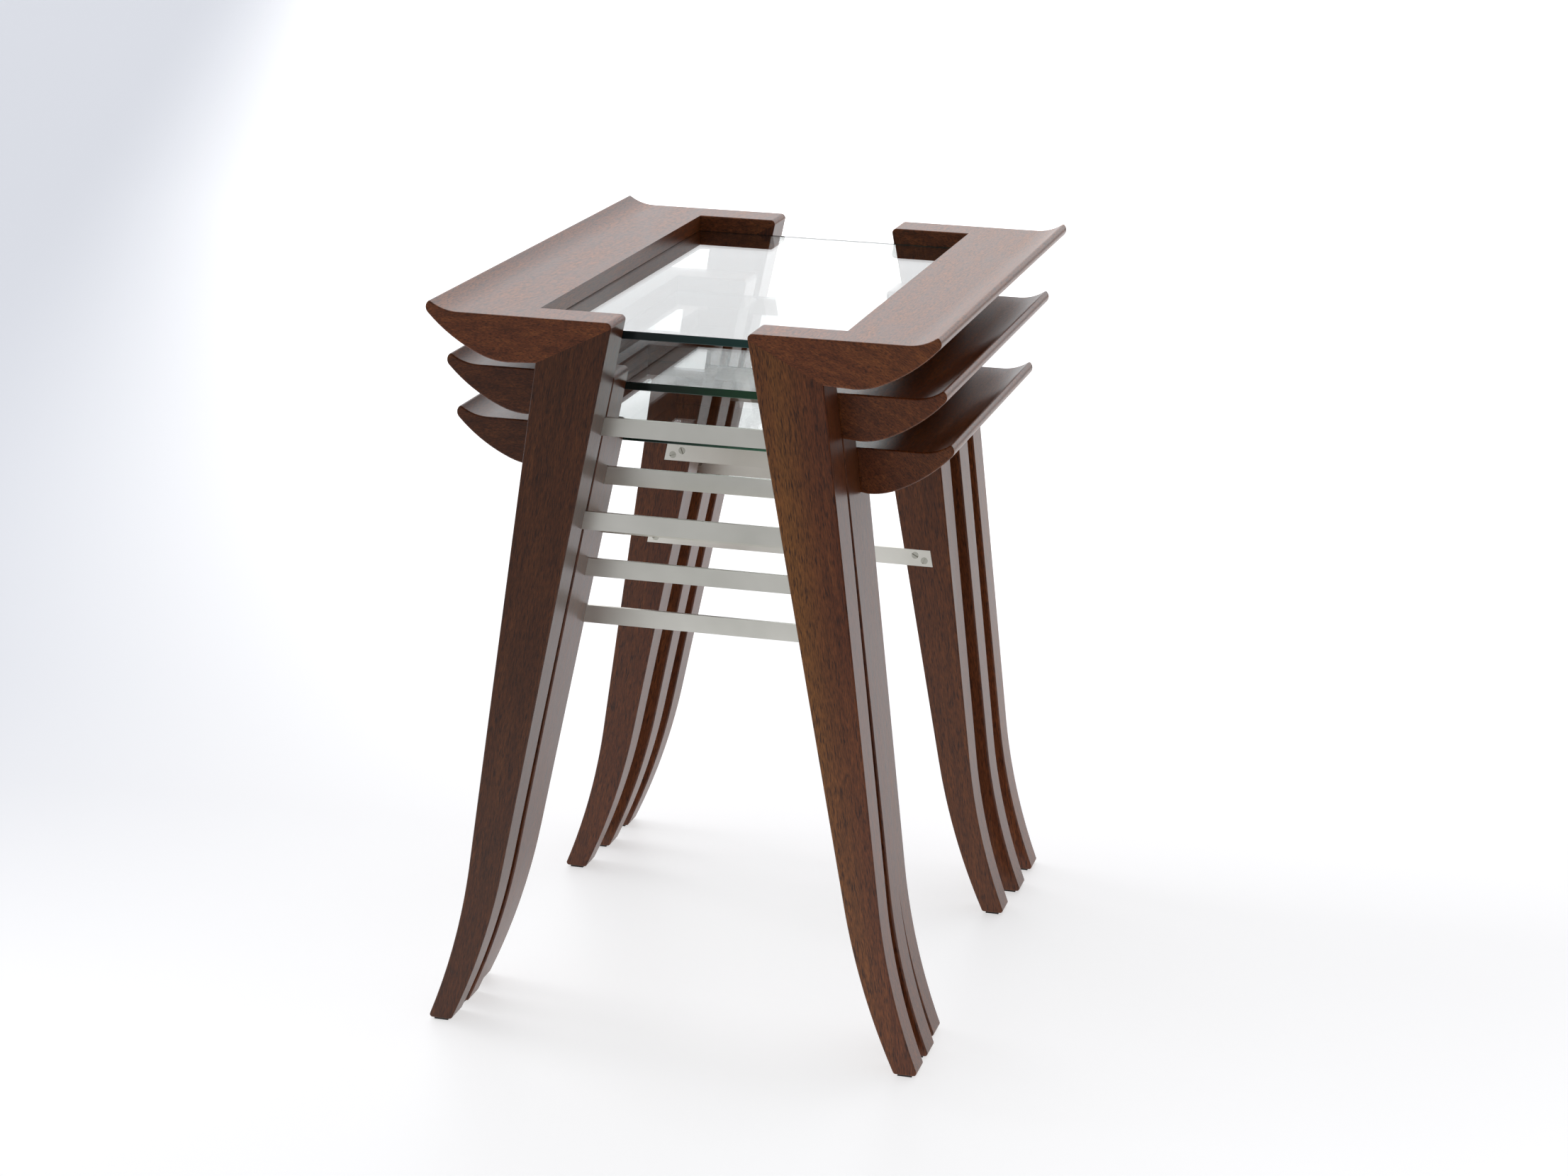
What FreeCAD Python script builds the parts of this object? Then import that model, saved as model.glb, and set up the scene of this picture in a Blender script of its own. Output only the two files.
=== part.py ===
# A nest of three glass-topped tables. Each table has two side boards with upturned tips,
# four arms, four sabre legs, a pane of glass and four flat metal bars between the legs.
# X runs across the tables, Y from front to rear, Z up. The feet stand on Z = 0.
import FreeCAD, Part
import math
import os
import PartDesign
import Sketcher
from FreeCAD import Vector

SIZES = [
    # the large table outside
    ("large_width", 418.5), ("large_depth", 555), ("large_height", 606),
    # how the smaller tables sit inside the next larger one
    ("nest_clearance", 11.5), ("front_gap", 2), ("medium_trim", 2.75),
    ("medium_tip_clearance", 5.9), ("small_tip_clearance", 7.9), ("small_side_shift", 3.9),
    # side boards: upturned tip and curved belly
    ("board_thickness", 37.8), ("tip_rise", 7.1), ("tip_run", 27), ("crest_inset", 3.5),
    ("crest_radius", 2), ("crest_width", 1.9), ("nose_inset", 2.15), ("nose_drop", 2.1),
    ("belly_run", 69), ("belly_radius", 58), ("belly_angle", 23), ("belly_lead", 6),
    # arms, and the mitre where they meet the legs
    ("arm_end_radius", 4), ("arm_edge_radius", 1.2), ("mitre_rise", 1.2), ("joint_share", 0.38),
    # sabre legs
    ("leg_thickness", 41), ("foot_thickness", 27), ("foot_width", 20.2), ("foot_outset", 0.95),
    ("foot_radius", 2.5), ("flare_height", 141), ("inner_flare", 45.3), ("outer_flare", 36.6),
    ("inner_rake", 11), ("outer_rake", 7.5), ("edge_radius", 1.4), ("taper_start", 6),
    # glass
    ("glass_thickness", 6.5), ("glass_drop", 13.7), ("groove_depth", 7), ("glass_clearance", 0.25),
    ("glass_chamfer", 0.6),
    # metal bars
    ("bar_height", 15), ("bar_thickness", 3), ("upper_bar_drop", 84.5), ("lower_bar_drop", 163),
    ("bar_lap", 24), ("bar_clearance", 0.15),
    # countersunk slotted screws
    ("screw_head", 6.4), ("screw_shank", 3.4), ("screw_length", 18), ("screw_cone", 2),
    ("slot_width", 0.9), ("slot_depth", 0.9), ("screw_end_gap", 6.5), ("screw_pitch", 8.5),
    ("screw_offset", 2.2),
    # dowels and foot pads
    ("dowel_diameter", 8), ("dowel_length", 28), ("mitre_dowel_length", 22), ("dowel_inset", 12),
    ("pad_thickness", 1.5), ("pad_inset", 1.5),
]

doc = FreeCAD.newDocument("nesting_tables")
sheet = doc.addObject("Spreadsheet::Sheet", "Sizes")
for row, (alias, number) in enumerate(SIZES, start=1):
    sheet.set(f"A{row}", alias)
    sheet.set(f"B{row}", str(number))
    sheet.setAlias(f"B{row}", alias)
doc.recompute()

ACROSS, DEEP = Vector(1, 0, 0), Vector(0, 1, 0)
nodes = {}


def value(expression):
    return float(sheet.evalExpression(expression))


def named(text):
    # writes the sheet's name in front of every alias in the text
    words = {alias for alias, _ in SIZES}
    out, word = "", ""
    for letter in text + " ":
        if letter.isalnum() or letter == "_":
            word += letter
            continue
        out += (f"Sizes.{word}" if word in words else word) + letter
        word = ""
    return out.strip()


def turning(run, rise, angle):
    # the radius of an arc over a run and a rise that starts at an angle to the run
    return f"({run}^2 + {rise}^2) / (2 * ({rise} * cos({angle}) - {run} * sin({angle})))"


def keep(item, name, place=None):
    # makes an object a sub-part; place is its table's along X and Y
    item.Label = name
    if place:
        item.setExpression("Placement.Base.x", place[0])
        item.setExpression("Placement.Base.y", place[1])
    nodes[name] = item
    return item


def body_sketch(body, name, plane, offset=None):
    sketch = body.newObject("Sketcher::SketchObject", name)
    features = body.Origin.OriginFeatures
    sketch.AttachmentSupport = [(next(f for f in features if f.Role == f"{plane}_Plane"), "")]
    sketch.MapMode = "FlatFace"
    if offset:
        sketch.setExpression("AttachmentOffset.Base.z", offset)
    return sketch


def outline(sketch, corners, arcs=None):
    # a closed loop through the corners; arcs gives a side's radius and which way it bulges,
    # +1 to the left of the side's direction and -1 to the right
    arcs = arcs or {}
    spots = [Vector(value(u), value(v), 0) for u, v in corners]
    first_end = []
    for side, start in enumerate(spots):
        end = spots[(side + 1) % len(spots)]
        if side not in arcs:
            sketch.addGeometry(Part.LineSegment(start, end), False)
            first_end.append(1)
            continue
        radius, bulge = arcs[side]
        chord = end - start
        reach = value(radius)
        sagitta = reach - math.sqrt(reach ** 2 - chord.Length ** 2 / 4)
        middle = (start + end) / 2 + Vector(-chord.y, chord.x, 0) / chord.Length * sagitta * bulge
        ends = (start, middle, end) if bulge < 0 else (end, middle, start)
        sketch.addGeometry(Part.Arc(*ends), False)
        first_end.append(1 if bulge < 0 else 2)
    for side, start_end in enumerate(first_end):
        after = (side + 1) % len(spots)
        join = ("Coincident", side, 3 - start_end, after, first_end[after])
        sketch.addConstraint(Sketcher.Constraint(*join))
        for kind, place, expression in zip(("DistanceX", "DistanceY"), spots[side], corners[side]):
            place_it = Sketcher.Constraint(kind, -1, 1, side, start_end, place)
            sketch.setExpression(f"Constraints[{sketch.addConstraint(place_it)}]", expression)
    for side, (radius, _) in arcs.items():
        round_it = Sketcher.Constraint("Radius", side, value(radius))
        sketch.setExpression(f"Constraints[{sketch.addConstraint(round_it)}]", radius)


def circles(sketch, centres, radius):
    for number, centre in enumerate(centres):
        place = Vector(value(centre[0]), value(centre[1]), 0)
        sketch.addGeometry(Part.Circle(place, Vector(0, 0, 1), value(radius)), False)
        for kind, reach, expression in zip(("DistanceX", "DistanceY"), place, centre):
            place_it = Sketcher.Constraint(kind, -1, 1, number, 3, reach)
            sketch.setExpression(f"Constraints[{sketch.addConstraint(place_it)}]", expression)
        size_it = Sketcher.Constraint("Radius", number, value(radius))
        sketch.setExpression(f"Constraints[{sketch.addConstraint(size_it)}]", radius)


def pad(body, name, sketch, length, both_ways=False):
    feature = body.newObject("PartDesign::Pad", name)
    feature.Profile = sketch
    feature.setExpression("Length", length)
    feature.Reversed = not both_ways
    feature.SideType = "Symmetric" if both_ways else "One side"
    doc.recompute()
    return feature


def pocket(body, name, sketch, length=None, side="Symmetric"):
    # cut from the sketch through everything, or both ways over a length
    before = body.Tip.Shape.Volume
    feature = body.newObject("PartDesign::Pocket", name)
    feature.Profile = sketch
    feature.SideType = side
    feature.Type = "Length" if length else "ThroughAll"
    if length:
        feature.setExpression("Length", length)
    body.Tip = feature
    doc.recompute()
    if feature.Shape.Volume >= before:
        raise RuntimeError(f"{name} cuts nothing")
    return feature


def round_edges(body, name, base, wanted, radius, kind="Fillet"):
    picked = [f"Edge{n}" for n, edge in enumerate(base.Shape.Edges, start=1) if wanted(edge)]
    feature = body.newObject(f"PartDesign::{kind}", name)
    feature.Base = (base, picked)
    feature.setExpression("Radius" if kind == "Fillet" else "Size", radius)
    body.Tip = feature
    doc.recompute()
    return feature


def lies_at(edge, axis, place):
    # true when the whole edge is at one coordinate
    box = edge.BoundBox
    low, high = (box.YMin, box.YMax) if axis == "y" else (box.XMin, box.XMax)
    return abs(low - place) < 1e-4 and abs(high - place) < 1e-4


def mirrored(source, name, normal, place):
    item = doc.addObject("Part::Mirroring", name)
    item.Source = source
    item.Normal = normal
    item.setExpression("Base.x", place[0])
    item.setExpression("Base.y", place[1])
    return keep(item, name)


def four_corners(source, table, name, place):
    # the front right piece, and its mirror images at the other three corners
    keep(source, f"{table}_front_right_{name}", place)
    left = mirrored(source, f"{table}_front_left_{name}", ACROSS, place)
    mirrored(source, f"{table}_rear_right_{name}", DEEP, place)
    mirrored(left, f"{table}_rear_left_{name}", DEEP, place)


def cut(base, tool, name):
    item = doc.addObject("Part::Cut", name)
    item.Base = base
    item.Tool = tool
    return item


def board(t):
    # a full-depth side board, its glass groove stopped at the arms
    body = doc.addObject("PartDesign::Body", f"{t['name']}_board")
    profile = body_sketch(body, f"{t['name']}_board_end", "XZ")
    outline(profile, [
        (t["board_x"], t["top"]),
        (t["board_x"], t["board_foot"]),
        (t["belly_x"], t["belly_z"]),
        (t["flank_x"], t["flank_z"]),
        (t["nose_x"], t["nose_z"]),
        (t["crest_out_x"], t["crest_z"]),
        (t["crest_in_x"], t["crest_z"]),
        (t["tip_x"], t["top"]),
    ], {
        2: (named("belly_radius"), -1),
        3: (t["flank_radius"], -1),
        4: (t["nose_radius"], -1),
        5: (named("crest_radius"), -1),
        6: (t["hollow_radius"], 1),
    })
    solid = pad(body, f"{t['name']}_board_length", profile, f"2 * ({t['half_depth']})", True)
    holes = body_sketch(body, f"{t['name']}_board_hole_centres", "YZ", t["board_x"])
    centres = [(f"{side}({y})", t["dowel_z"]) for side in ("", "-") for y in t["dowel_ys"]]
    circles(holes, centres, named("dowel_diameter / 2"))
    solid = pocket(body, f"{t['name']}_board_holes", holes, named("dowel_length"))
    half, inner = value(t["half_depth"]), value(t["board_x"])
    round_edges(body, f"{t['name']}_board_ends", solid, lambda e: not lies_at(e, "x", inner)
                and (lies_at(e, "y", half) or lies_at(e, "y", -half)), named("edge_radius"))
    groove = body_sketch(body, f"{t['name']}_groove_section", "XZ")
    in_x = f"{t['board_x']} - {named('groove_depth')}"
    out_x = f"{t['board_x']} + {named('groove_depth')}"
    low = f"{t['glass_low']} - {named('glass_clearance')}"
    high = f"{t['glass_low']} + {named('glass_thickness + glass_clearance')}"
    outline(groove, [(in_x, low), (out_x, low), (out_x, high), (in_x, high)])
    pocket(body, f"{t['name']}_groove", groove, f"2 * ({t['inner_depth']})")
    return body


def arm(t):
    # a short block between the board and the mitre, rounded at its inner top end
    body = doc.addObject("PartDesign::Body", f"{t['name']}_arm")
    face = body_sketch(body, f"{t['name']}_arm_face", "XZ", t["half_depth"])
    outline(face, [
        (t["board_x"], t["top"]),
        (t["arm_top_x"], t["top"]),
        (t["mitre_in_x"], t["mitre_in_z"]),
        (t["mitre_out_x"], t["mitre_out_z"]),
        (t["board_x"], t["board_foot"]),
    ], {1: (named("arm_end_radius"), -1)})
    solid = pad(body, f"{t['name']}_arm_depth", face, named("leg_thickness"))
    front, back = -value(t["half_depth"]), -value(t["inner_depth"])
    joint = value(t["board_x"])
    mitre = (value(t["mitre_in_z"]), value(t["mitre_out_z"]))

    def outside(edge):
        box = edge.BoundBox
        on_mitre = abs(box.ZMax - mitre[0]) < 1e-4 and abs(box.ZMin - mitre[1]) < 1e-4
        on_face = lies_at(edge, "y", front) or lies_at(edge, "y", back)
        return on_face and not on_mitre and not lies_at(edge, "x", joint)

    round_edges(body, f"{t['name']}_arm_edges", solid, outside, named("arm_edge_radius"))
    return body


def leg(t):
    # a sabre leg: straight and raked above, flared and rounded at the foot, thinner towards
    # the foot on its front and rear faces, with pockets behind for the two metal bars
    name = t["name"]
    body = doc.addObject("PartDesign::Body", f"{name}_leg")
    face = body_sketch(body, f"{name}_leg_face", "XZ", t["half_depth"])
    outline(face, [
        (t["mitre_in_x"], t["mitre_in_z"]),
        (t["flare_in_x"], named("flare_height")),
        (t["heel_in_x"], t["heel_in_z"]),
        (t["sole_in_x"], named("pad_thickness")),
        (t["sole_out_x"], named("pad_thickness")),
        (t["heel_out_x"], t["heel_out_z"]),
        (t["flare_out_x"], named("flare_height")),
        (t["mitre_out_x"], t["mitre_out_z"]),
    ], {
        1: (t["flare_in_radius"], -1),
        2: (named("foot_radius"), -1),
        4: (named("foot_radius"), -1),
        5: (t["flare_out_radius"], 1),
    })
    pad(body, f"{name}_leg_thickness", face, named("leg_thickness"))
    for side, depth, sign in (("front", t["half_depth"], "+"), ("rear", t["inner_depth"], "-")):
        taper = body_sketch(body, f"{name}_leg_{side}_taper", "YZ")
        outline(taper, [(f"-({depth})", t["taper_z"]), (f"-({depth})", "0"),
                        (f"-({depth}) {sign} {t['thinning']}", "0")])
        solid = pocket(body, f"{name}_{side}_taper", taper)
    mitre = (value(t["mitre_in_z"]), value(t["mitre_out_z"]))

    def outside(edge):
        box = edge.BoundBox
        level = box.ZMax - box.ZMin < 1e-4
        on_mitre = abs(box.ZMax - mitre[0]) < 1e-4 and abs(box.ZMin - mitre[1]) < 1e-4
        on_sole = level and box.YMax - box.YMin < 1e-4 and box.ZMin < value(t["heel_in_z"]) - 1e-4
        return on_sole or not (level or on_mitre)

    round_edges(body, f"{name}_leg_edges", solid, outside, named("edge_radius"))
    for level, bar in t["bars"].items():
        seat = body_sketch(body, f"{name}_{level}_bar_seat", "XZ", bar["back"])
        ease = named("bar_clearance")
        low, high = f"{bar['low']} - {ease}", f"{bar['high']} + {ease}"
        outline(seat, [("1", low), (f"{bar['end_low']} + {ease}", low),
                       (f"{bar['end_high']} + {ease}", high), ("1", high)])
        pocket(body, f"{name}_{level}_seat_cut", seat, side="One side")
    return body


def metal_bar(t, level):
    # a flat bar with ends cut along the legs' rake
    bar = t["bars"][level]
    body = doc.addObject("PartDesign::Body", f"{t['name']}_{level}_bar")
    face = body_sketch(body, f"{t['name']}_{level}_bar_face", "XZ", bar["back"])
    outline(face, [
        (f"-({bar['end_low']})", bar["low"]), (bar["end_low"], bar["low"]),
        (bar["end_high"], bar["high"]), (f"-({bar['end_high']})", bar["high"]),
    ])
    pad(body, f"{t['name']}_{level}_bar_thickness", face, named("bar_thickness"))
    return body


def screw_blank():
    # a countersunk wood screw without its slot, head up at the origin, pointing down
    head, shank = value(named("screw_head / 2")), value(named("screw_shank / 2"))
    cone, length = value(named("screw_cone")), value(named("screw_length"))
    points = [(0, 0), (head, 0), (shank, -cone), (shank, -length + 2 * shank), (0, -length)]
    wire = Part.makePolygon([Vector(x, 0, z) for x, z in points + points[:1]])
    return Part.Face(wire).revolve(Vector(), Vector(0, 0, 1), 360)


def slotted(blank, turn):
    wide, deep = value(named("slot_width")), value(named("slot_depth"))
    reach = value(named("screw_head")) + 1
    tool = Part.makeBox(reach, wide, 2 * deep, Vector(-reach / 2, -wide / 2, -deep))
    tool.rotate(Vector(), Vector(0, 0, 1), turn)
    return blank.cut(tool)


def screw_places(t):
    # two screws set diagonally at each end of each bar: place, and direction of the head
    places = []
    for bar in t["bars"].values():
        middle = value(f"({bar['low']} + {bar['high']}) / 2")
        end = value(f"({bar['end_low']} + {bar['end_high']}) / 2") - value(named("screw_end_gap"))
        face = value(bar["back"]) - value(named("bar_thickness"))
        rise, pitch = value(named("screw_offset")), value(named("screw_pitch"))
        for x, z in ((end, middle - rise), (end - pitch, middle + rise)):
            for side in (1, -1):
                for run in (-1, 1):
                    places.append((Vector(side * x, run * face, z), Vector(0, -run, 0)))
    return places


def screws(t, shape_of, name):
    # all of a table's screws, or the holes that they fill
    up = Vector(0, 0, 1)
    solids = []
    for number, (place, head) in enumerate(screw_places(t)):
        solid = shape_of(number)
        solid.Placement = FreeCAD.Placement(place, FreeCAD.Rotation(up, head))
        solids.append(solid)
    item = doc.addObject("Part::Feature", name)
    item.Shape = Part.makeCompound(solids)
    return item


def dowels(t):
    # at the front right corner, two dowels from arm to board and two across the mitre
    name, board_dowels, mitre_dowels = t["name"], [], []
    along = f"{t['board_x']} - {named('dowel_length / 2')}"
    mid_x = f"({t['mitre_in_x']} + {t['mitre_out_x']}) / 2"
    mid_z = f"({t['mitre_in_z']} + {t['mitre_out_z']}) / 2"
    slope = f"atan2({t['mitre_in_z']} - ({t['mitre_out_z']}); {t['mitre_out_x']} - ({t['mitre_in_x']}))"
    half = named("mitre_dowel_length / 2")
    for number, y in enumerate(t["dowel_ys"], start=1):
        straight = doc.addObject("Part::Cylinder", f"{name}_board_dowel_{number}")
        straight.setExpression("Height", named("dowel_length"))
        straight.setExpression("Placement.Base.x", along)
        straight.setExpression("Placement.Base.z", t["dowel_z"])
        straight.setExpression("Placement.Rotation.Angle", "90")
        raked = doc.addObject("Part::Cylinder", f"{name}_mitre_dowel_{number}")
        raked.setExpression("Height", named("mitre_dowel_length"))
        raked.setExpression("Placement.Base.x", f"{mid_x} - {half} * sin({slope})")
        raked.setExpression("Placement.Base.z", f"{mid_z} - {half} * cos({slope})")
        raked.setExpression("Placement.Rotation.Angle", slope)
        for dowel in (straight, raked):
            dowel.Placement.Rotation = FreeCAD.Rotation(DEEP, 30)
            dowel.setExpression("Radius", named("dowel_diameter / 2"))
            dowel.setExpression("Placement.Base.y", y)
        board_dowels.append(straight)
        mitre_dowels.append(raked)
    return board_dowels, mitre_dowels


def group(items, name):
    item = doc.addObject("Part::Compound", name)
    item.Links = items
    return item


def mirrored_group(items, name, place):
    # the front right pieces and their mirror images, as one node of separate solids
    right = group(items, f"{name}_front_right")
    left = doc.addObject("Part::Mirroring", f"{name}_front_left")
    left.Source, left.Normal = right, ACROSS
    front = group([right, left], f"{name}_front")
    rear = doc.addObject("Part::Mirroring", f"{name}_rear")
    rear.Source, rear.Normal = front, DEEP
    return keep(group([front, rear], f"{name}_all"), name, place)


def foot_pad(t):
    box = doc.addObject("Part::Box", f"{t['name']}_foot_pad")
    inset = named("pad_inset")
    box.setExpression("Length", f"{t['sole_out_x']} - {t['sole_in_x']} - 2 * {inset}")
    box.setExpression("Width", f"{named('foot_thickness')} - 2 * {inset}")
    box.setExpression("Height", named("pad_thickness"))
    box.setExpression("Placement.Base.x", f"{t['sole_in_x']} + {inset}")
    box.setExpression("Placement.Base.y", f"{t['thinning']} + {inset} - ({t['half_depth']})")
    return box


def glass(t):
    # a pane whose long edges sit in the boards' grooves; its front and rear edges show
    body = doc.addObject("PartDesign::Body", f"{t['name']}_pane")
    end = body_sketch(body, f"{t['name']}_pane_end", "XZ")
    out_x = f"{t['board_x']} + {named('groove_depth - glass_clearance')}"
    low, high = t["glass_low"], f"{t['glass_low']} + {named('glass_thickness')}"
    outline(end, [(f"-({out_x})", low), (out_x, low), (out_x, high), (f"-({out_x})", high)])
    solid = pad(body, f"{t['name']}_pane_depth", end,
                f"2 * ({t['inner_depth']} - {named('glass_clearance')})", True)
    edge_y = value(f"{t['inner_depth']} - {named('glass_clearance')}")
    round_edges(body, f"{t['name']}_pane_edges", solid, lambda e: (lies_at(e, "y", edge_y)
                or lies_at(e, "y", -edge_y)) and not lies_at(e, "x", value(out_x))
                and not lies_at(e, "x", -value(out_x)), named("glass_chamfer"), "Chamfer")
    return body


def table(name, top, half_width, tier):
    # one table's places, each an expression on the sheet, from its top's height, its half
    # width and how many tables it is nested inside
    t = {"name": name, "top": top}
    step = f"{tier} * {named('(leg_thickness + nest_clearance)')}"
    t["half_depth"] = f"{named('large_depth / 2')} - {step}"
    t["inner_depth"] = f"{t['half_depth']} - {named('leg_thickness')}"
    aside = named("small_side_shift / 2")
    t["place"] = (f"-{aside}" if tier == 2 else aside,
                  f"-{tier} * {named('(nest_clearance - front_gap)')}")

    # the foot is at the same place on every table, and the legs rise from it at one rake
    foot_out = named("(large_width / 2 + foot_outset)")
    foot_in = named("(large_width / 2 + foot_outset - foot_width)")
    flare = named("(flare_height - pad_thickness)")
    for key, side, foot, sign in (("in", "inner", foot_in, "-"), ("out", "outer", foot_out, "+")):
        run, rake = named(f"{side}_flare"), named(f"{side}_rake")
        slope = f"(2 * atan2({run}; {flare}) - {rake} * 1 deg)"
        cut_back = f"({named('foot_radius')} * tan(45 deg {sign} {slope} / 2))"
        t[f"flare_{key}_x"] = f"({foot} - {run})"
        t[f"sole_{key}_x"] = f"({foot} {'+' if key == 'in' else '-'} {cut_back})"
        t[f"heel_{key}_x"] = f"({foot} - {cut_back} * sin({slope}))"
        t[f"heel_{key}_z"] = f"({named('pad_thickness')} + {cut_back} * cos({slope}))"
        t[f"flare_{key}_radius"] = turning(f"({named('flare_height')} - {t[f'heel_{key}_z']})",
                                           f"({t[f'heel_{key}_x']} - {t[f'flare_{key}_x']})", rake)
    t["thinning"] = named("(leg_thickness - foot_thickness) / 2")

    def leg_in(z):
        return f"({t['flare_in_x']} - ({z} - {named('flare_height')}) * {named('tan(inner_rake)')})"

    def leg_out(z):
        return f"({t['flare_out_x']} - ({z} - {named('flare_height')}) * {named('tan(outer_rake)')})"

    # the mitre runs from below the arm's rounded end to where the belly meets the leg
    reach = named("(arm_end_radius / tan(45 - inner_rake / 2))")
    t["arm_top_x"] = f"{leg_in(top)} + {reach}"
    t["mitre_in_z"] = f"({top} - {reach} * {named('cos(inner_rake)')})"
    t["mitre_in_x"] = leg_in(t["mitre_in_z"])
    t["mitre_out_z"] = f"({top} - {named('(board_thickness - mitre_rise)')})"
    t["mitre_out_x"] = leg_out(t["mitre_out_z"])
    t["taper_z"] = f"({t['mitre_out_z']} - {named('taper_start')})"

    # the board's end profile
    lead = f"{t['mitre_out_x']} + {named('belly_lead')}"
    t["belly_x"] = f"max({half_width} - {named('belly_run')}; {lead})"
    t["belly_z"] = f"({top} - {named('board_thickness')})"
    share = named("joint_share")
    t["board_x"] = f"({t['mitre_out_x']} + {share} * ({t['belly_x']} - {t['mitre_out_x']}))"
    t["board_foot"] = f"{t['mitre_out_z']} - {share} * {named('mitre_rise')}"
    t["flank_x"] = f"({t['belly_x']} + {named('belly_radius * sin(belly_angle)')})"
    t["flank_z"] = f"({t['belly_z']} + {named('belly_radius * (1 - cos(belly_angle))')})"
    t["nose_x"] = f"({half_width} - {named('nose_inset')})"
    t["nose_z"] = f"({top} - {named('nose_drop')})"
    run, rise = f"({t['nose_x']} - {t['flank_x']})", f"({t['nose_z']} - {t['flank_z']})"
    t["flank_radius"] = turning(run, rise, named("belly_angle"))
    crest = named("crest_width / 2")
    t["crest_out_x"] = f"({half_width} - {named('crest_inset')} + {crest})"
    t["crest_in_x"] = f"({half_width} - {named('crest_inset')} - {crest})"
    t["crest_z"] = f"({top} + {named('tip_rise')})"
    lean = f"(2 * atan2({rise}; {run}) - {named('belly_angle')} * 1 deg)"
    t["nose_radius"] = turning(f"({t['crest_out_x']} - {t['nose_x']})",
                               f"({t['crest_z']} - {t['nose_z']})", lean)
    t["tip_x"] = f"({half_width} - {named('tip_run')})"
    t["hollow_radius"] = turning(f"({t['crest_in_x']} - {t['tip_x']})", named("tip_rise"), "0")

    inset = named("dowel_inset")
    t["dowel_z"] = f"{top} - {named('board_thickness / 2')}"
    t["dowel_ys"] = (f"{inset} - ({t['half_depth']})", f"-({t['inner_depth']}) - {inset}")
    t["glass_low"] = f"({top} - {named('glass_drop')} - {named('glass_thickness')})"
    t["bars"] = {}
    for level in ("upper", "lower"):
        high = f"({top} - {named(f'{level}_bar_drop')})"
        low = f"({high} - {named('bar_height')})"
        mid = f"({high} - {named('bar_height / 2')})"
        thinned = f"{t['thinning']} * (1 - {mid} / {t['taper_z']})"
        t["bars"][level] = {
            "low": low, "high": high,
            "end_low": f"{leg_in(low)} + {named('bar_lap')}",
            "end_high": f"{leg_in(high)} + {named('bar_lap')}",
            "back": f"{t['inner_depth']} + {thinned} + {named('bar_thickness')}",
        }
    return t


def build_table(t):
    name, place = t["name"], t["place"]
    seats = screws(t, lambda number: screw_blank(), f"{name}_screw_seats")
    keep(screws(t, lambda number: slotted(screw_blank(), 67 * number % 180), f"{name}_screw_set"),
         f"{name}_bar_screws", place)
    board_dowels, mitre_dowels = dowels(t)
    mirrored_group(board_dowels + mitre_dowels, f"{name}_dowels", place)

    in_board = group(board_dowels, f"{name}_board_dowels")
    in_mitre = group(mitre_dowels, f"{name}_mitre_dowels")
    right = keep(board(t), f"{name}_right_board", place)
    mirrored(right, f"{name}_left_board", ACROSS, place)
    arm_holes = group([in_board, in_mitre], f"{name}_arm_holes")
    four_corners(cut(arm(t), arm_holes, f"{name}_arm_cut"), name, "arm", place)
    leg_holes = group([in_mitre, seats], f"{name}_leg_holes")
    four_corners(cut(leg(t), leg_holes, f"{name}_leg_cut"), name, "leg", place)
    for level in t["bars"]:
        front = cut(metal_bar(t, level), seats, f"{name}_{level}_bar_cut")
        keep(front, f"{name}_{level}_front_bar", place)
        mirrored(front, f"{name}_{level}_rear_bar", DEEP, place)
    keep(glass(t), f"{name}_glass", place)
    mirrored_group([foot_pad(t)], f"{name}_foot_pads", place)


large_top = named("large_height")
step_down = "board_thickness + tip_rise"
medium_top = f"({large_top} - {named(f'({step_down} + medium_tip_clearance)')})"
small_top = f"({medium_top} - {named(f'({step_down} + small_tip_clearance)')})"
large_half = named("large_width / 2")
build_table(table("large", large_top, large_half, 0))
build_table(table("medium", medium_top, f"({large_half} - {named('medium_trim')})", 1))
build_table(table("small", small_top, large_half, 2))
doc.recompute()

for item in doc.Objects:
    if {"Invalid", "Error"} & set(item.State):
        raise RuntimeError(f"{item.Label} failed: {item.State}")
for name, item in nodes.items():
    if item.Shape.isNull() or not item.Shape.isValid():
        raise RuntimeError(f"{name} has no valid shape")

os.makedirs("parts", exist_ok=True)
for name, item in nodes.items():
    item.Shape.exportStep(f"parts/{name}.step")
print(len(nodes), "sub-parts written")
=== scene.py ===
# A nest of three mahogany and glass tables, in a pale studio.
import math
import bpy
from mathutils import Matrix, Vector

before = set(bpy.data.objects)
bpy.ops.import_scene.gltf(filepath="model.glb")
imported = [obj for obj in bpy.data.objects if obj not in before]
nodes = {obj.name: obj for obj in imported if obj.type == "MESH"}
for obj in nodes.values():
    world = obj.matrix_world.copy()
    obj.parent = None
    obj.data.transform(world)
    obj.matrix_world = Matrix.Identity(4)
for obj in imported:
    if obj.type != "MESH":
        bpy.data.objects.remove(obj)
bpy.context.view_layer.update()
tableNames = ("large", "medium", "small")
print("frame loaded:", len(nodes), "nodes")


# node helpers
editor = {"columnWidth": 220, "rowHeight": 260, "rows": 5}     # how nodes are laid out to read
rampTop = 2.0      # a ramp's colours stop at one, so brighter levels are divided by this in it


def clearLook(name):
    look = bpy.data.materials.new(name)
    look.use_nodes = True
    look.node_tree.nodes.clear()
    return look, look.node_tree


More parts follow.
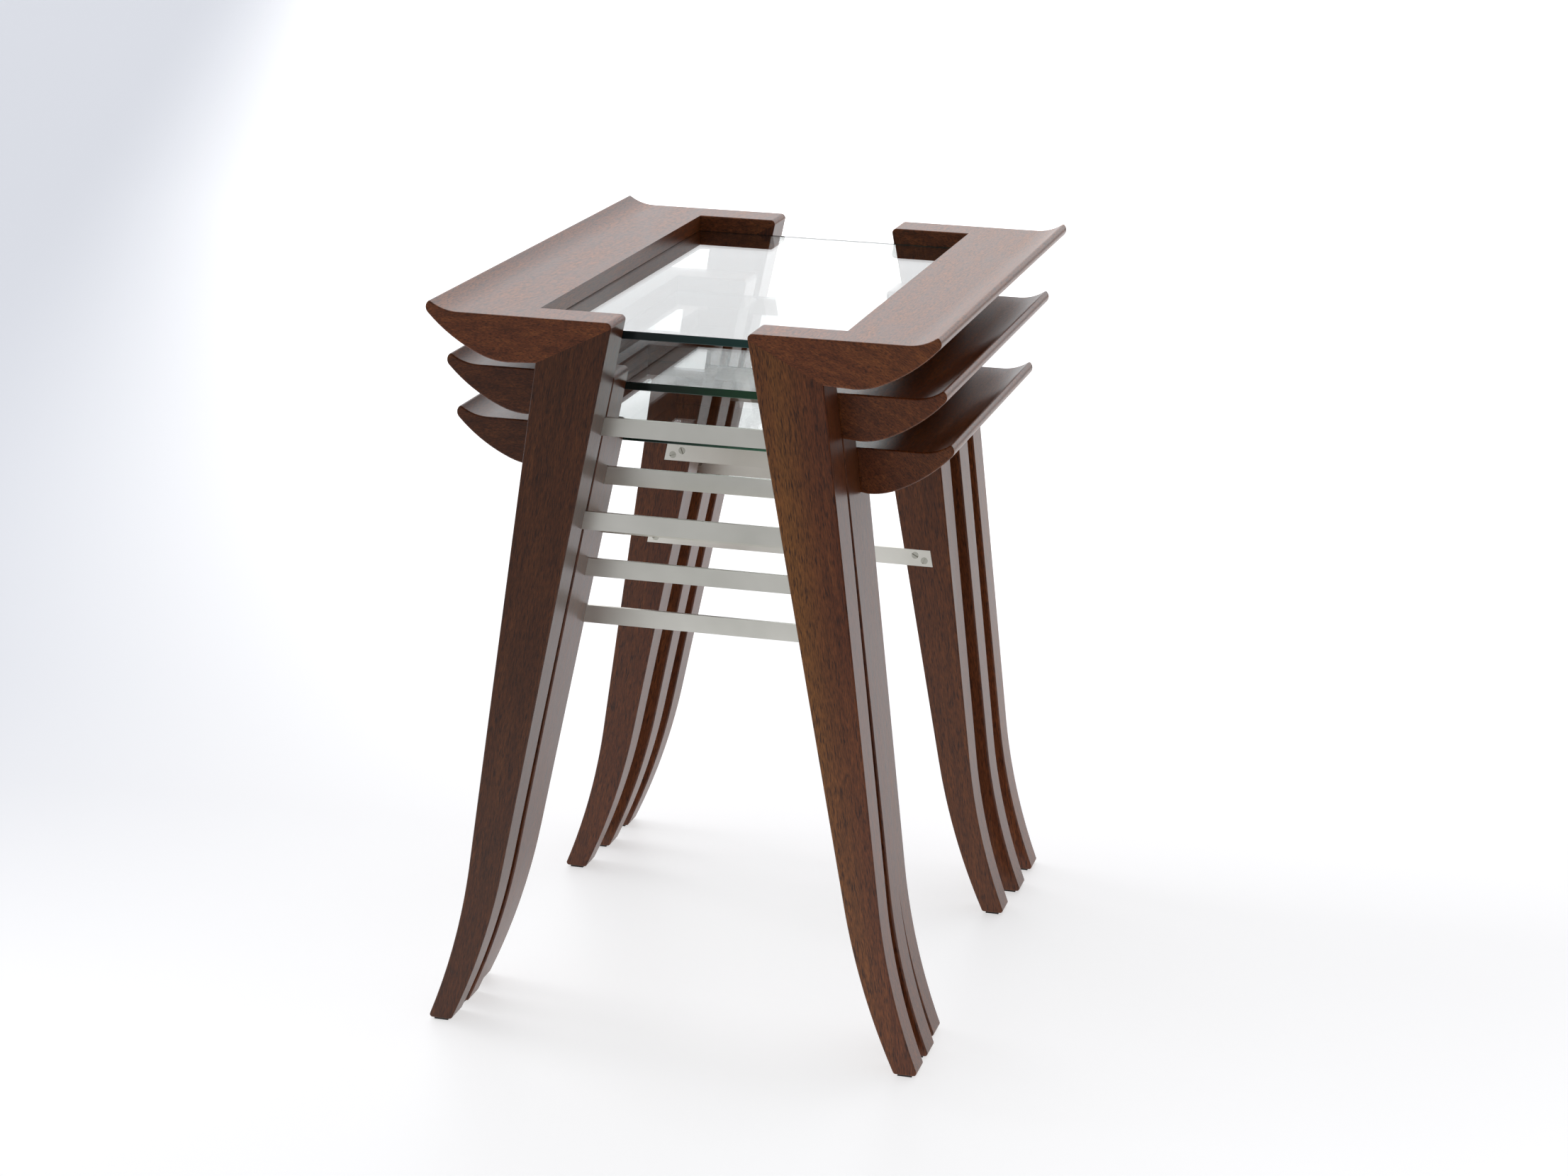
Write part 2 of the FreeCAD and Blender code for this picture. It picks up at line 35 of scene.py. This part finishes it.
def put(tree, kind, feeds=None, **settings):
    # a new node; a socket in feeds is linked, and anything else is the input's own value
    node = tree.nodes.new(kind)
    column, row = divmod(len(tree.nodes) - 1, editor["rows"])
    node.location = (column * editor["columnWidth"], -row * editor["rowHeight"])
    for key, setting in settings.items():
        setattr(node, key, setting)
    for key, feed in (feeds or {}).items():
        if isinstance(feed, bpy.types.NodeSocket):
            tree.links.new(feed, node.inputs[key])
        else:
            node.inputs[key].default_value = feed
    return node


def work(tree, operation, *terms):
    return put(tree, "ShaderNodeMath", dict(enumerate(terms)), operation=operation).outputs[0]


def scaled(tree, source, amount):
    feeds = {0: source, "Scale": amount}
    return put(tree, "ShaderNodeVectorMath", feeds, operation="SCALE").outputs[0]


def mixed(tree, amount, first, second):
    feeds = {"Factor": amount, "A": first, "B": second}
    return put(tree, "ShaderNodeMix", feeds, data_type="RGBA").outputs["Result"]


def spread(tree, source, band, levels=(0, 1), smooth=False):
    # the levels run from the first end of the band to the second, and stay the same beyond it
    feeds = {"Value": source, "From Min": band[0], "From Max": band[1],
             "To Min": levels[0], "To Max": levels[1]}
    kind = "SMOOTHSTEP" if smooth else "LINEAR"
    return put(tree, "ShaderNodeMapRange", feeds, interpolation_type=kind).outputs[0]


def ramp(tree, source, stops, smooth=False):
    # a stop is a place with a colour or a grey level
    node = put(tree, "ShaderNodeValToRGB", {0: source})
    node.color_ramp.interpolation = "EASE" if smooth else "LINEAR"
    while len(node.color_ramp.elements) < len(stops):
        node.color_ramp.elements.new(0.5)
    for element, (spot, edgeLight) in zip(node.color_ramp.elements, stops):
        element.position = spot
        element.color = (*edgeLight, 1) if isinstance(edgeLight, tuple) else (edgeLight, edgeLight, edgeLight, 1)
    return node.outputs["Color"]


def noise(tree, place, settings):
    return put(tree, "ShaderNodeTexNoise", {"Vector": place, **settings}).outputs["Fac"]


def objectPlace(tree):
    return put(tree, "ShaderNodeTexCoord").outputs["Object"]


def dress(name, look):
    piece = nodes[name]
    for slot in piece.material_slots:
        slot.material = look
    if not piece.material_slots:
        piece.data.materials.append(look)


# wood
wood = {
    "IOR": 1.43,                          # a thin satin lacquer
    "polish": (0.26, 0.38),               # roughness in the darkest and the lightest rings
    "relief": {"Strength": 0.03, "Distance": 0.001},
    "poreDepth": -0.8,
    "rings": {"Scale": 170, "Detail": 6, "Roughness": 0.72, "Distortion": 0.25},
    "patches": {"Scale": 14, "Detail": 3},
    "pores": {"Scale": 1250, "Detail": 2.5, "Roughness": 0.6},
    "flecks": {"Scale": 1500, "Detail": 1},
    "ringSqueeze": 0.06, "poreSqueeze": 0.08, "fleckSqueeze": 0.12,     # less is longer in grain
    "ringShades": ((0.3, (0.085, 0.021, 0.007)), (0.47, (0.148, 0.038, 0.0125)),
                   (0.58, (0.2, 0.057, 0.017)), (0.72, (0.28, 0.09, 0.026))),
    "plainShade": (0.155, 0.041, 0.0135, 1),
    "goldShade": (0.33, 0.135, 0.03, 1),
    "poreShade": (0.03, 0.008, 0.004, 1),
    "goldStops": ((0.32, 0.25), (0.6, 1.0)),
    "poreStops": ((0.35, 0.9), (0.47, 0.0)),
    "fleckBand": (0.3, 0.7), "fleckTones": (0.66, 1.34),
    "boardMiddle": (0.14, 0.58),          # X and Z in m, where ringStretch holds
    "ringStretch": 0.26,                  # less is longer streaks around the rings
    "ringMiddles": {"right": (0.04, 0.33), "left": (-0.12, -0.6)},     # log's heart, X and Z in m
    "boardLevels": {"Figure": 1.0, "Pores": 0.7, "Gold": 0.15},
    # painted shading by table, over one painted light and under one painted shade; the left medium
    # and small boards lie in the shade of the boards above them
    "boardPaintedShading": {"right": (1.18, 1.1, 1.05), "left": (1.12, 0.66, 0.64)},
    "boardSeeds": (1.7, 4.8, 7.9),
    "legLevels": {"Figure": 0.7, "Pores": 1.0, "Gold": 0.12},
    # painted shade by table on the legs, darkest on the left and the inner tables' legs, which
    # stand in shade between the others
    "legPaintedShading": {"right": (0.95, 0.8, 0.8), "left": (0.78, 0.75, 0.75)},
    "legSeeds": {("front", "right"): 1.2, ("rear", "right"): 2.1,
                 ("front", "left"): 3.3, ("rear", "left"): 4.2},
    "legSeedStep": 5.3,                   # from one table to the next
    "legTilt": {"right": 9.0, "left": -9.0},     # the turn of the legs' grain, in degrees
    # the large front left leg is painted darkest, painted shade because it is lit less than the
    # other legs
    "paintedShadeLeg": ("large", "front", "left"), "paintedShadeLegLevel": 0.55,
    "goldLeg": ("large", "front", "right"),
    "goldBand": (0.166, 0.196), "goldBandLevels": (0.95, 0.1),     # from its inner edge, X in m
}


def makeGrainGroup():
    # Grain runs along Z of the vector that it is given; X and Y are across it.
    tree = bpy.data.node_groups.new("mahoganyFigure", "ShaderNodeTree")
    tree.interface.new_socket("Vector", in_out="INPUT", socket_type="NodeSocketVector")
    for name in ("Figure", "Pores", "Gold", "PaintedShading", "Seed"):
        tree.interface.new_socket(name, in_out="INPUT", socket_type="NodeSocketFloat")
    tree.interface.new_socket("Color", in_out="OUTPUT", socket_type="NodeSocketColor")
    tree.interface.new_socket("Roughness", in_out="OUTPUT", socket_type="NodeSocketFloat")
    tree.interface.new_socket("Height", in_out="OUTPUT", socket_type="NodeSocketFloat")
    given = put(tree, "NodeGroupInput").outputs

    # every piece is cut from another place in the log
    shift = put(tree, "ShaderNodeCombineXYZ", {axis: given["Seed"] for axis in "XYZ"})
    moved = put(tree, "ShaderNodeVectorMath", {0: given["Vector"], 1: shift.outputs[0]},
                operation="ADD").outputs[0]

    # growth rings, patches, pores and flecks, all drawn out along the grain
    spaces = {}
    for kind in ("ring", "pore", "fleck"):
        feeds = {"Vector": moved, "Scale": (1, 1, wood[f"{kind}Squeeze"])}
        spaces[kind] = put(tree, "ShaderNodeMapping", feeds).outputs[0]
    rings = noise(tree, spaces["ring"], wood["rings"])
    patches = noise(tree, spaces["ring"], wood["patches"])
    pores = noise(tree, spaces["pore"], wood["pores"])
    flecks = noise(tree, spaces["fleck"], wood["flecks"])

    # dark red-brown to orange-brown by ring, golden by patch, dark in the pores
    ringed = mixed(tree, given["Figure"], wood["plainShade"], ramp(tree, rings, wood["ringShades"]))
    goldAmount = work(tree, "MULTIPLY", ramp(tree, patches, wood["goldStops"], True), given["Gold"])
    golden = mixed(tree, goldAmount, ringed, wood["goldShade"])
    fleckTone = spread(tree, flecks, wood["fleckBand"], wood["fleckTones"])
    # each piece's colour is scaled by its painted shading: painted shade where the piece stands in
    # shade, painted light where it is lit
    flecked = scaled(tree, golden, work(tree, "MULTIPLY", fleckTone, given["PaintedShading"]))
    poreAmount = work(tree, "MULTIPLY", ramp(tree, pores, wood["poreStops"]), given["Pores"])
    put(tree, "NodeGroupOutput", {
        "Color": mixed(tree, poreAmount, flecked, wood["poreShade"]),
        "Roughness": spread(tree, rings, (0, 1), wood["polish"]),
        "Height": work(tree, "MULTIPLY_ADD", poreAmount, wood["poreDepth"], rings)})
    return tree


def ringCoordinates(tree, place, middle):
    # distance from the middle of the rings, way around them, and along the board
    split = put(tree, "ShaderNodeSeparateXYZ", {0: place}).outputs
    acrossX = work(tree, "SUBTRACT", split["X"], middle[0])
    acrossZ = work(tree, "SUBTRACT", split["Z"], middle[1])
    flat = put(tree, "ShaderNodeCombineXYZ", {"X": acrossX, "Z": acrossZ}).outputs[0]
    reach = put(tree, "ShaderNodeVectorMath", {0: flat}, operation="LENGTH").outputs["Value"]
    boardX, boardZ = wood["boardMiddle"]
    radius = math.hypot(boardX - abs(middle[0]), boardZ - middle[1])
    around = work(tree, "MULTIPLY", work(tree, "ARCTAN2", acrossX, acrossZ),
                  wood["ringStretch"] * radius)
    return put(tree, "ShaderNodeCombineXYZ", {"X": reach, "Y": around, "Z": split["Y"]}).outputs[0]


def makeWood(name, figure, levels, ringMiddle=None, tilt=0.0, edgeGold=None):
    # levels go to the figure group; edgeGold is a leg's gold at its inner and outer edges
    look, tree = clearLook(name)
    place = objectPlace(tree)
    if ringMiddle:
        place = ringCoordinates(tree, place, ringMiddle)
    else:
        turn = {"Vector": place, "Rotation": (0, math.radians(tilt), 0)}
        place = put(tree, "ShaderNodeMapping", turn).outputs[0]
    if edgeGold:
        across = put(tree, "ShaderNodeSeparateXYZ", {0: place}).outputs["X"]
        levels = {**levels, "Gold": spread(tree, across, wood["goldBand"], edgeGold)}
    grain = put(tree, "ShaderNodeGroup", {"Vector": place, **levels}, node_tree=figure).outputs
    relief = put(tree, "ShaderNodeBump", {"Height": grain["Height"], **wood["relief"]}).outputs[0]
    shader = put(tree, "ShaderNodeBsdfPrincipled", {
        "Base Color": grain["Color"], "Roughness": grain["Roughness"],
        "IOR": wood["IOR"], "Normal": relief})
    put(tree, "ShaderNodeOutputMaterial", {"Surface": shader.outputs[0]})
    return look


grainGroup = makeGrainGroup()
for tier, table in enumerate(tableNames):
    for side in ("right", "left"):
        # a board and its two arms share one figure
        # each board and its arms are painted lighter or darker by table and side, painted light and
        # shade
        levels = {**wood["boardLevels"], "PaintedShading": wood["boardPaintedShading"][side][tier],
                  "Seed": wood["boardSeeds"][tier]}
        boardWood = makeWood(f"{table}{side}BoardWood", grainGroup, levels,
                             ringMiddle=wood["ringMiddles"][side])
        dress(f"{table}_{side}_board", boardWood)
        for end in ("front", "rear"):
            dress(f"{table}_{end}_{side}_arm", boardWood)
            leg = (table, end, side)
            # each leg is painted darker by its painted shade level
            paintedShadeLevel = wood["paintedShadeLegLevel"] if leg == wood["paintedShadeLeg"] else wood["legPaintedShading"][side][tier]
            levels = {**wood["legLevels"], "PaintedShading": paintedShadeLevel,
                      "Seed": wood["legSeedStep"] * tier + wood["legSeeds"][end, side]}
            legWood = makeWood(f"{table}{end}{side}LegWood", grainGroup, levels,
                               tilt=wood["legTilt"][side],
                               edgeGold=wood["goldBandLevels"] if leg == wood["goldLeg"] else None)
            dress(f"{table}_{end}_{side}_leg", legWood)
print("wood done")


# glass
glass = {
    "tint": (0.925, 0.97, 0.965, 1), "IOR": 1.52,
    "edgeRoughness": 0.12, "edgeIOR": 1.4,
    "edgeDepth": 0.0009,                  # how far in from the front and rear an edge reaches
    "edgeLightBand": (-0.06, 0.11),           # X in m, from an edge's painted dark left end to its painted bright right end: painted shade to painted light
    "edgeGreenAndLight": {"large": ((0.006, 0.012, 0.013), (0.012, 0.085, 0.075)),
                   "medium": ((0.005, 0.012, 0.009), (0.025, 0.15, 0.055)),
                   "small": ((0.01, 0.03, 0.022), (0.10, 0.36, 0.2))},
}


def makeGlass(table):
    # clear on its faces; the edges are solid and painted the deep green of the glass with the light
    # piped along the pane, painted shade at their left ends and painted light at their right
    look, tree = clearLook(f"{table}FloatGlass")
    depths = [corner[1] for corner in nodes[f"{table}_glass"].bound_box]
    low, high = min(depths), max(depths)
    split = put(tree, "ShaderNodeSeparateXYZ", {0: objectPlace(tree)}).outputs
    fromMiddle = work(tree, "ABSOLUTE", work(tree, "SUBTRACT", split["Y"], (low + high) / 2))
    isEdge = work(tree, "GREATER_THAN", fromMiddle, (high - low) / 2 - glass["edgeDepth"])
    left, right = glass["edgeGreenAndLight"][table]
    # painted shade at the left end of each edge, painted light at the right
    edgeLight = ramp(tree, spread(tree, split["X"], glass["edgeLightBand"]), ((0, left), (1, right)), True)
    clear = put(tree, "ShaderNodeBsdfPrincipled", {
        "Base Color": glass["tint"], "Roughness": 0.0,
        "IOR": glass["IOR"], "Transmission Weight": 1})
    solid = put(tree, "ShaderNodeBsdfPrincipled", {
        "Base Color": edgeLight, "Roughness": glass["edgeRoughness"], "IOR": glass["edgeIOR"]})
    joined = put(tree, "ShaderNodeMixShader", {0: isEdge, 1: clear.outputs[0], 2: solid.outputs[0]})
    put(tree, "ShaderNodeOutputMaterial", {"Surface": joined.outputs[0]})
    return look


for table in tableNames:
    dress(f"{table}_glass", makeGlass(table))
print("glass done")


# metal
nickel = {
    "roughness": (0.26, 0.42),
    "relief": {"Strength": 0.06, "Distance": 0.0004},
    "brush": {"Scale": 900, "Detail": 4},
    "cloud": {"Scale": 14, "Detail": 3},
    "barSqueeze": (0.03, 1, 1), "barShades": ((0.8, 0.795, 0.725), (0.96, 0.95, 0.88)),
    "screwSqueeze": (1, 1, 1), "screwShades": ((0.5, 0.5, 0.44), (0.68, 0.68, 0.6)),
    "shadeSpots": (0.3, 0.7),
}


def makeNickel(name, squeeze, shades):
    look, tree = clearLook(name)
    place = objectPlace(tree)
    drawn = put(tree, "ShaderNodeMapping", {"Vector": place, "Scale": squeeze}).outputs[0]
    brush = noise(tree, drawn, nickel["brush"])
    cloud = noise(tree, place, nickel["cloud"])
    relief = put(tree, "ShaderNodeBump", {"Height": brush, **nickel["relief"]}).outputs[0]
    shader = put(tree, "ShaderNodeBsdfPrincipled", {
        "Base Color": ramp(tree, cloud, tuple(zip(nickel["shadeSpots"], shades))),
        "Roughness": spread(tree, brush, (0, 1), nickel["roughness"]),
        "Metallic": 1, "Normal": relief})
    put(tree, "ShaderNodeOutputMaterial", {"Surface": shader.outputs[0]})
    return look


barLook = makeNickel("satinNickelBar", nickel["barSqueeze"], nickel["barShades"])
screwLook = makeNickel("dullNickelScrew", nickel["screwSqueeze"], nickel["screwShades"])
for table in tableNames:
    dress(f"{table}_bar_screws", screwLook)
    for level in ("upper", "lower"):
        for end in ("front", "rear"):
            dress(f"{table}_{level}_{end}_bar", barLook)
print("metal done")


# foot pads and dowels
fittings = {
    "shadeSpots": (0.35, 0.65), "cloudDetail": 3,
    "pads": {"name": "footPadPlastic", "roughness": 0.6, "cloudScale": 400,
             "shades": ((0.012, 0.009, 0.008), (0.03, 0.022, 0.018))},
    "dowels": {"name": "beechDowel", "roughness": 0.7, "cloudScale": 300,
               "shades": ((0.42, 0.27, 0.15), (0.55, 0.38, 0.22))},
}


def makeClouded(settings):
    look, tree = clearLook(settings["name"])
    cloud = noise(tree, objectPlace(tree),
                  {"Scale": settings["cloudScale"], "Detail": fittings["cloudDetail"]})
    shader = put(tree, "ShaderNodeBsdfPrincipled", {
        "Base Color": ramp(tree, cloud, tuple(zip(fittings["shadeSpots"], settings["shades"]))),
        "Roughness": settings["roughness"]})
    put(tree, "ShaderNodeOutputMaterial", {"Surface": shader.outputs[0]})
    return look


padLook = makeClouded(fittings["pads"])
dowelLook = makeClouded(fittings["dowels"])
for table in tableNames:
    dress(f"{table}_foot_pads", padLook)
    dress(f"{table}_dowels", dowelLook)
print("foot pads and dowels done")


# floor
floorSettings = {
    "size": 60.0,
    "paint": (0.5, 0.5, 0.515, 1), "paintOutside": (0.1, 0.1, 0.105, 1),
    "roughness": 0.5, "shine": 0.2,
    # the glow dips around the tables, painted shade on the floor under them, and rises to the far
    # side
    "glow": ((0.0, 0.4), (0.3, 0.66), (0.4, 0.56), (0.52, 0.67), (0.7, 0.9), (1.0, 1.35)),
    "glowBand": (-2.0, 3.5),              # where the glow's first and last stops lie along Y
    "leftGlow": (0.26, 0.28, 0.325, 1),   # the glow far to the left
    "leftBand": (-0.12, -1.1), "leftSkew": 0.35,     # its line leans by the skew along Y
    "leftFarBand": (-0.8, 0.6),           # where it starts and where it is full, along Y
    # the axis, where along it the sweep is black and where it is white, and the least left of it
    "sweepEnds": (("X", (1.4, 0.8), 0.05), ("Y", (-1.25, -0.7), 0.5)),
}


def makeFloor():
    # a white sweep that glows softly behind the tables and is dim on the near side
    bpy.ops.object.select_all(action="DESELECT")
    bpy.ops.mesh.primitive_plane_add(size=floorSettings["size"], location=(0, 0, 0))
    floor = bpy.context.object
    floor.name = "paleFloor"
    look, tree = clearLook("paleFloorPaint")
    split = put(tree, "ShaderNodeSeparateXYZ", {0: objectPlace(tree)}).outputs
    stops = tuple((spot, level / rampTop) for spot, level in floorSettings["glow"])
    glow = ramp(tree, spread(tree, split["Y"], floorSettings["glowBand"]), stops)
    # dimmer and a little bluer far to the left
    aside = work(tree, "MULTIPLY_ADD", split["Y"], floorSettings["leftSkew"], split["X"])
    dimmed = work(tree, "MULTIPLY",
                  spread(tree, aside, floorSettings["leftBand"], smooth=True),
                  spread(tree, split["Y"], floorSettings["leftFarBand"], smooth=True))
    tinted = mixed(tree, dimmed, scaled(tree, glow, rampTop), floorSettings["leftGlow"])
    # the white sweep ends on the near side and to the right, where the floor is painted dark,
    # painted shade that keeps the wood's undersides and front faces from catching its glow
    ends = [spread(tree, split[axis], band, (least, 1), smooth=True)
            for axis, band, least in floorSettings["sweepEnds"]]
    sweep = work(tree, "MULTIPLY", *ends)
    shader = put(tree, "ShaderNodeBsdfPrincipled", {
        "Base Color": mixed(tree, sweep, floorSettings["paintOutside"], floorSettings["paint"]),
        "Roughness": floorSettings["roughness"], "Specular IOR Level": floorSettings["shine"],
        "Emission Color": scaled(tree, tinted, sweep), "Emission Strength": 1})
    put(tree, "ShaderNodeOutputMaterial", {"Surface": shader.outputs[0]})
    floor.data.materials.append(look)


makeFloor()
print("floor done")


# light
light = {
    "airTint": (0.98, 0.985, 1, 1),
    "air": ((0.15, 0.28), (0.5, 0.48), (0.64, 0.95), (0.85, 1.45)),     # from near to far
    "rightBand": (0.25, 0.8), "rightAir": 0.5,     # how much of it is left on the right
    "softboxPlace": (-1.9, 0.5, 2.6), "softboxTarget": (0, 0, 0.2),
    "softboxSize": (1.2, 1.2), "softboxPower": 14,
}


def makeAir():
    # bright behind and above, dim on the near side and the right of the studio
    world = bpy.data.worlds.new("studioAir")
    bpy.context.scene.world = world
    world.use_nodes = True
    tree = world.node_tree
    tree.nodes.clear()
    toward = put(tree, "ShaderNodeTexCoord").outputs["Generated"]
    split = put(tree, "ShaderNodeSeparateXYZ", {0: toward}).outputs
    stops = tuple((spot, level / rampTop) for spot, level in light["air"])
    glow = ramp(tree, spread(tree, split["Y"], (-1, 1)), stops, True)
    rightward = spread(tree, split["X"], light["rightBand"],
                       (rampTop, rampTop * light["rightAir"]), smooth=True)
    air = put(tree, "ShaderNodeBackground", {
        "Color": light["airTint"], "Strength": work(tree, "MULTIPLY", glow, rightward)})
    put(tree, "ShaderNodeOutputWorld", {"Surface": air.outputs[0]})


def makeSoftbox():
    lamp = bpy.data.lights.new("leftSoftbox", "AREA")
    lamp.shape = "RECTANGLE"
    lamp.size, lamp.size_y = light["softboxSize"]
    lamp.energy = light["softboxPower"]
    holder = bpy.data.objects.new("leftSoftbox", lamp)
    bpy.context.collection.objects.link(holder)
    holder.location = light["softboxPlace"]
    down = Vector(light["softboxTarget"]) - Vector(light["softboxPlace"])
    holder.rotation_euler = down.to_track_quat("-Z", "Y").to_euler()


makeAir()
makeSoftbox()
print("light done")


# camera
view = {
    "place": (0.740296, -2.895491, 1.15386),     # in m
    "azimuth": 0.242841, "down": 0.270919, "roll": 0.025663,     # in radians
    "lens": 81.589, "sensor": 36,                # in mm
    "farthest": 200,
}


def makeCamera():
    lens = bpy.data.cameras.new("studioCamera")
    lens.sensor_fit = "HORIZONTAL"
    lens.sensor_width = view["sensor"]
    lens.lens = view["lens"]
    lens.clip_end = view["farthest"]
    holder = bpy.data.objects.new("studioCamera", lens)
    bpy.context.collection.objects.link(holder)
    aim = (Matrix.Rotation(view["azimuth"], 4, "Z")
           @ Matrix.Rotation(math.pi / 2 - view["down"], 4, "X")
           @ Matrix.Rotation(view["roll"], 4, "Z"))
    holder.matrix_world = Matrix.Translation(view["place"]) @ aim
    bpy.context.scene.camera = holder


makeCamera()
bpy.context.scene.view_settings.view_transform = "Standard"
print("camera done")
